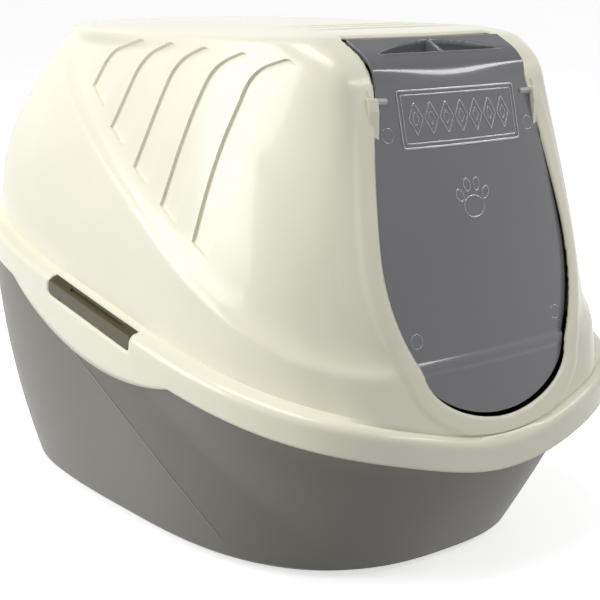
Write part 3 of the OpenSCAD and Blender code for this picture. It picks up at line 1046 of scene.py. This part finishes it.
def build_clip(side):
    """A ramped block at the pin, with a flat top, and a small snap post over it."""
    name = "left" if side < 0 else "right"
    low, high = node_box("hinge_clip_" + name)
    inner = high[0] if side < 0 else low[0]
    face = float(frame_y(inner, pin_z))
    top = pin_z + 3.0

    def ramp(t):
        proud = CLIP_PROUD * (1 - 0.35 * t)
        tall = CLIP_TALL - 3 * t
        return [(face - proud, top), (face + 5, top), (face + 5 - tall * LEAN, top - tall),
                (face + 1 - tall * LEAN, top - tall), (face - proud - 2, top - 9)]

    def place(ring, t):
        x = inner + side * (0.1 + t * CLIP_WIDE)
        shift = FRONT_BOW * (x * x - inner * inner)
        return np.array([[x, y + shift, z] for y, z in ring])

    block = sweep_profile("clip_block_" + name, ramp, (0, 0.5, 1), place)

    def post(t):
        back = face + 1.5
        return [(back - 3, top + 1.2), (back + 3, top + 1.2), (back + 4.5, top + 7), (back - 1, top + 6)]

    def place_post(ring, t):
        return np.array([[inner + side * (3.4 + 1.5 * t), y, z] for y, z in ring])

    return block, sweep_profile("clip_post_" + name, post, (0, 1), place_post)


# ---- side latches ---------------------------------------------------------------
LATCH_LOW = -8.0
LATCH_EDGE = (0.5, 3.4)
SLOPE_WAY = (-0.883, 0.469)
SLOPE_LONG = 7.6
CHANNEL = (-0.36, 0.27)
CHANNEL_DEEP = 2.2


def build_latch(side):
    """A bar, flush with the skirt, with a long channel and cross ribs in its top."""
    name = "left" if side < 0 else "right"
    low, high = node_box("side_latch_" + name)
    middle = (low + high) / 2
    outer = max(abs(low[0]), abs(high[0])) - 0.1
    tilt = math.atan(RIM_SLOPE)
    half = (high[1] - low[1]) / 2 / math.cos(tilt) * 0.985
    rib_shares = (-0.93, -0.87, -0.81, -0.75, -0.69, 0.66, 0.72, 0.78, 0.84, 0.9)
    ribs = [half * share for share in rib_shares]

    def height(t, across):
        """How far the top is cut down at t along the bar and across it."""
        if CHANNEL[0] * 2 * half < t < CHANNEL[1] * 2 * half:
            return (0, CHANNEL_DEEP, 0.6)[across]
        return 0.5 if across < 2 and min(abs(t - r) for r in ribs) < 0.5 else 0

    def on_slope(u, cut_down):
        """Point of the sloped top, u along it from the front edge and cut down into it."""
        return (outer - LATCH_EDGE[0] + SLOPE_WAY[0] * u - SLOPE_WAY[1] * cut_down,
                LATCH_EDGE[1] + SLOPE_WAY[1] * u + SLOPE_WAY[0] * cut_down)

    def outline(t):
        fall = 2.4 * smooth((abs(t) - half + 3.5) / 3.5) ** 2
        a, b, c = (height(t, k) for k in range(3))
        bottom = LATCH_LOW - (1.2 if abs(t) > half * 0.72 else 0) + fall
        top = [on_slope(0, 0), on_slope(1.6, 0), on_slope(1.8, a), on_slope(2.8, a), on_slope(3.0, b),
               on_slope(5.2, b), on_slope(5.4, c), on_slope(6.6, c), on_slope(SLOPE_LONG, 0)]
        back = outer - LATCH_EDGE[0] + SLOPE_WAY[0] * SLOPE_LONG - 1
        return top + [(back, 4), (back, 0), (outer - 5, bottom + 3), (outer - 4, bottom), (outer - 1, bottom),
                      (outer, bottom + 1.4), (outer, LATCH_EDGE[1] - 0.8)]

    def place(ring, t):
        c, d = math.cos(tilt), math.sin(tilt)
        y = middle[1] + t * c
        bow = half_wid - half_wid * (1 - (abs(y) / half_len) ** RIM_N) ** (1 / RIM_N)
        return np.array([[side * (x - bow), y - h * d, middle[2] + t * d + h * c] for x, h in ring])

    stations = [half * share for share in (-1, -0.74, -0.72, 0.72, 0.74, 1)]
    stations += [end * (half - back) for end in (-1, 1) for back in (0.7, 1.5, 2.4, 3.5)]
    stations += [limit * 2 * half + near for limit in CHANNEL for near in (-0.2, 0.2)]
    stations += [r + near for r in ribs for near in (-0.7, -0.4, 0.4, 0.7)]
    stations += list(np.linspace(-half * 0.68, half * 0.62, 12))
    return sweep_profile("latch_bar_" + name, outline, sorted(stations), place)


# ---- filter pad -----------------------------------------------------------------
def build_pad():
    """A soft carbon pad: crowned both ways, thin at its edges, with quilted dents."""
    low, high = node_box("carbon_filter")
    size = (high - low) / 2
    centre = (high + low) / 2
    steps = 48
    u = np.linspace(-1, 1, steps)
    a, b = np.meshgrid(u, u, indexing="ij")
    soft = (1 - a**8) * (1 - b**8)
    quilt = 0.8 * np.abs(np.sin(a * 4.5 * math.pi / 2) * np.sin(b * 3.5 * math.pi / 2)) ** 0.5
    pull = 1 - 0.02 * (1 - np.abs(b) ** 2) * np.abs(a) ** 3
    x = centre[0] + size[0] * a * pull
    y = centre[1] + size[1] * b
    lift = size[2] * (0.35 + 0.45 * soft**0.4) + (quilt - 0.8) * soft
    top = np.stack([x, y, centre[2] + lift], -1).reshape(-1, 3)
    bottom = np.stack([x, y, centre[2] - size[2] * (0.5 + 0.4 * soft**0.4)], -1).reshape(-1, 3)
    count = steps * steps
    up = grid_faces(steps, steps, False, np.ones((steps - 1, steps - 1), bool))
    faces = [list(f)[::-1] for f in up] + [[i + count for i in f] for f in up]
    last = steps - 1
    rim = list(range(steps))
    rim += [i * steps + last for i in range(1, steps)]
    rim += [last * steps + i for i in range(last - 1, -1, -1)]
    rim += [i * steps for i in range(last - 1, 0, -1)]
    for p, q in zip(rim, rim[1:] + rim[:1]):
        faces.append([p, q, q + count, p + count])
    return make_mesh("filter_pad", np.concatenate([top, bottom]), faces)


# ---- floor, light and camera ----------------------------------------------------------
VIEW_TURN = math.radians(38.6)
VIEW_DOWN = math.radians(13.46)


def build_stage():
    """A pale round floor that curves up into a wall far from the box.

    It glows a little, and diffuse rays don't meet it, so it looks white and shows in
    glossy reflections but doesn't light the box from below.
    """
    turn = np.radians(np.arange(0, 91, 10))
    reach = np.concatenate([[0.02, 2.5], 5 + np.sin(turn), [6]]) / MM
    height = np.concatenate([[0, 0], 1 - np.cos(turn), [4]]) / MM
    sides = 72
    around = np.linspace(0, 2 * math.pi, sides, endpoint=False)
    rows = [np.stack([r * np.cos(around), r * np.sin(around), np.full(sides, h)], -1)
            for r, h in zip(reach, height)]
    faces = list(grid_faces(len(rows), sides, True, np.ones((len(rows) - 1, sides), bool)))
    faces.append(list(range(sides)))
    floor = make_mesh("floor", np.concatenate(rows), faces)
    mat = bpy.data.materials.new("floor_white")
    mat.use_nodes = True
    shader = mat.node_tree.nodes["Principled BSDF"]
    shader.inputs["Base Color"].default_value = (0.96, 0.96, 0.96, 1)
    shader.inputs["Roughness"].default_value = 0.7
    shader.inputs["Emission Color"].default_value = (1, 1, 1, 1)
    shader.inputs["Emission Strength"].default_value = 0.6
    floor.data.materials.append(mat)
    floor.visible_diffuse = False
    world = bpy.data.worlds.new("studio")
    bpy.context.scene.world = world
    world.use_nodes = True
    world.node_tree.nodes["Background"].inputs["Color"].default_value = (1, 1, 1, 1)
    world.node_tree.nodes["Background"].inputs["Strength"].default_value = 0.32


def area_light(name, place, target, size, power):
    data = bpy.data.lights.new(name, "AREA")
    data.shape = "RECTANGLE"
    data.size, data.size_y = size
    data.energy = power
    light = bpy.data.objects.new(name, data)
    bpy.context.scene.collection.objects.link(light)
    light.location = place
    light.rotation_euler = (Vector(target) - Vector(place)).to_track_quat("-Z", "Y").to_euler()


def build_lights():
    target = (0, 0, 0.2)
    area_light("left_softbox", (-1.8, 0.8, 0.95), target, (1.1, 1.3), 21)
    area_light("strip_softbox", (0.95, -1.25, 1.35), (0, -0.15, 0.38), (1.5, 0.2), 7)
    area_light("top_softbox", (-0.6, -0.1, 1.9), target, (1.2, 0.9), 15)


def build_camera():
    data = bpy.data.cameras.new("camera")
    data.lens = 84
    data.sensor_width = 36
    camera = bpy.data.objects.new("camera", data)
    bpy.context.scene.collection.objects.link(camera)
    camera.location = (-0.7317, -0.9443, 0.4554)
    camera.rotation_euler = (math.radians(90) - VIEW_DOWN, 0, -VIEW_TURN)
    bpy.context.scene.camera = camera


# ---- the scene -----------------------------------------------------------------
build_stage()
build_lights()
build_camera()
bpy.context.scene.view_settings.view_transform = "Standard"

finish_piece(build_hood(), cream, "hood", "hood_plastic", "hood")
tray, folds = build_tray()
finish_piece(tray, taupe, "base", "tray_plastic", "tray")
# The fold lines take the lighter taupe, a painted highlight along each fold
for fold in folds:
    finish_piece(fold, fold_painted_highlight, "base", "tray_plastic")
finish_piece(build_door(), smoke, "door", "door_plastic", "door")
finish_piece(build_relief(), smoke, "door", "door_plastic")
for side, name in ((-1, "left"), (1, "right")):
    block, post = build_clip(side)
    finish_piece(block, cream, "hood", "hood_plastic", "hinge_clip_" + name)
    finish_piece(post, cream, "hood", "hood_plastic")
    finish_piece(build_latch(side), olive, "latch_" + name, "latch_plastic", "side_latch_" + name)
pad = build_pad()
finish_piece(pad, felt, "filter", "filter_pad", "carbon_filter")
carried = {"door_pin": clear, "latch_rod": steel, "filter_rail": cream, "filter_holder": cream}
for name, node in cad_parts.items():
    for start, material in carried.items():
        if name.startswith(start):
            node.data.materials.clear()
            node.data.materials.append(material)
            add_modifier(node, "BEVEL", width=0.4 * MM, segments=2, angle_limit=math.radians(40))
